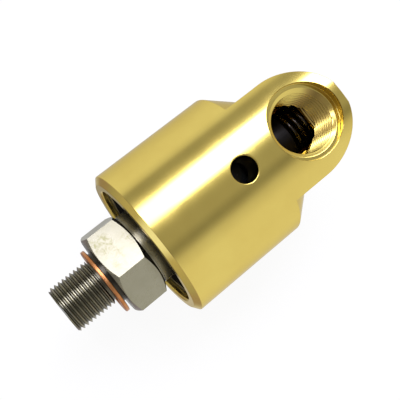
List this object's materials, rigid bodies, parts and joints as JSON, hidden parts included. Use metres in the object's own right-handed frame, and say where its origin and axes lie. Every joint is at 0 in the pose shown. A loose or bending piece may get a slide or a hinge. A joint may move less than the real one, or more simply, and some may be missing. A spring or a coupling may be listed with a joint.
{
  "type": "rotating union",
  "caption": "Single-passage rotating union: a steel rotor with a male thread and wrench hexagon spins in bearings inside a brass housing with a threaded hose port.",
  "frame": {"origin": "on the rotor's axis, at the shoulder that the copper washer seals against, where the male thread ends", "axes": "+X along the rotor from its thread into the housing, +Z out of the hose port, +Y across the tongue's flats"},
  "size_m": [0.102, 0.052, 0.052],
  "materials": {
    "turned_brass": "bright turned and milled, fine tool marks",
    "turned_steel": "turned, thin olive-gray film",
    "soft_copper": "stamped sheet, slightly dull",
    "black_spring_steel": "phosphated and oiled",
    "bearing_steel": "ground and polished",
    "black_rubber": "moulded, matt",
    "cage_nylon": "moulded glass-filled nylon",
    "silicon_carbide": "lapped",
    "seal_carbon": "lapped carbon graphite",
    "stainless_steel": "turned stainless steel",
    "spring_steel": "drawn stainless wire"
  },
  "bodies": {
    "rotor": {"rotor": "turned_steel", "sealing_washer": "soft_copper", "front_bearing_inner_ring": "bearing_steel", "rear_bearing_inner_ring": "bearing_steel", "rotor_retaining_ring": "black_spring_steel", "slinger": "black_rubber", "seal_seat": "silicon_carbide", "seat_o_ring": "black_rubber"},
    "housing": {"housing": "turned_brass", "housing_retaining_ring": "black_spring_steel", "front_bearing_outer_ring": "bearing_steel", "rear_bearing_outer_ring": "bearing_steel", "front_bearing_seals": "black_rubber", "rear_bearing_seals": "black_rubber", "anti_rotation_pins": "stainless_steel", "seal_spring": "spring_steel"},
    "front_cage": {"front_bearing_cage": "cage_nylon", "front_bearing_balls": "bearing_steel"},
    "rear_cage": {"rear_bearing_cage": "cage_nylon", "rear_bearing_balls": "bearing_steel"},
    "seal_carrier": {"seal_carrier": "stainless_steel", "carbon_ring": "seal_carbon", "carrier_o_ring": "black_rubber"}
  },
  "joints": [
    {"name": "housing_spin", "type": "hinge", "parent": "rotor", "child": "housing", "pos_m": [0.0312, 0, 0], "axis": [1, 0, 0], "continuous": true},
    {"name": "front_cage_spin", "type": "hinge", "parent": "rotor", "child": "front_cage", "pos_m": [0.0252, 0, 0], "axis": [1, 0, 0], "continuous": true},
    {"name": "rear_cage_spin", "type": "hinge", "parent": "rotor", "child": "rear_cage", "pos_m": [0.0372, 0, 0], "axis": [1, 0, 0], "continuous": true},
    {"name": "seal_slide", "type": "slide", "parent": "housing", "child": "seal_carrier", "axis": [1, 0, 0], "range_m": [0, 0.0015], "stiffness_N_per_m": 2600, "springref_m": -0.006, "deforming": ["seal_spring"]}
  ],
  "couplings": [
    {"joint": "front_cage_spin", "follows": "housing_spin", "ratio": 0.6024},
    {"joint": "rear_cage_spin", "follows": "housing_spin", "ratio": 0.6024}
  ]
}
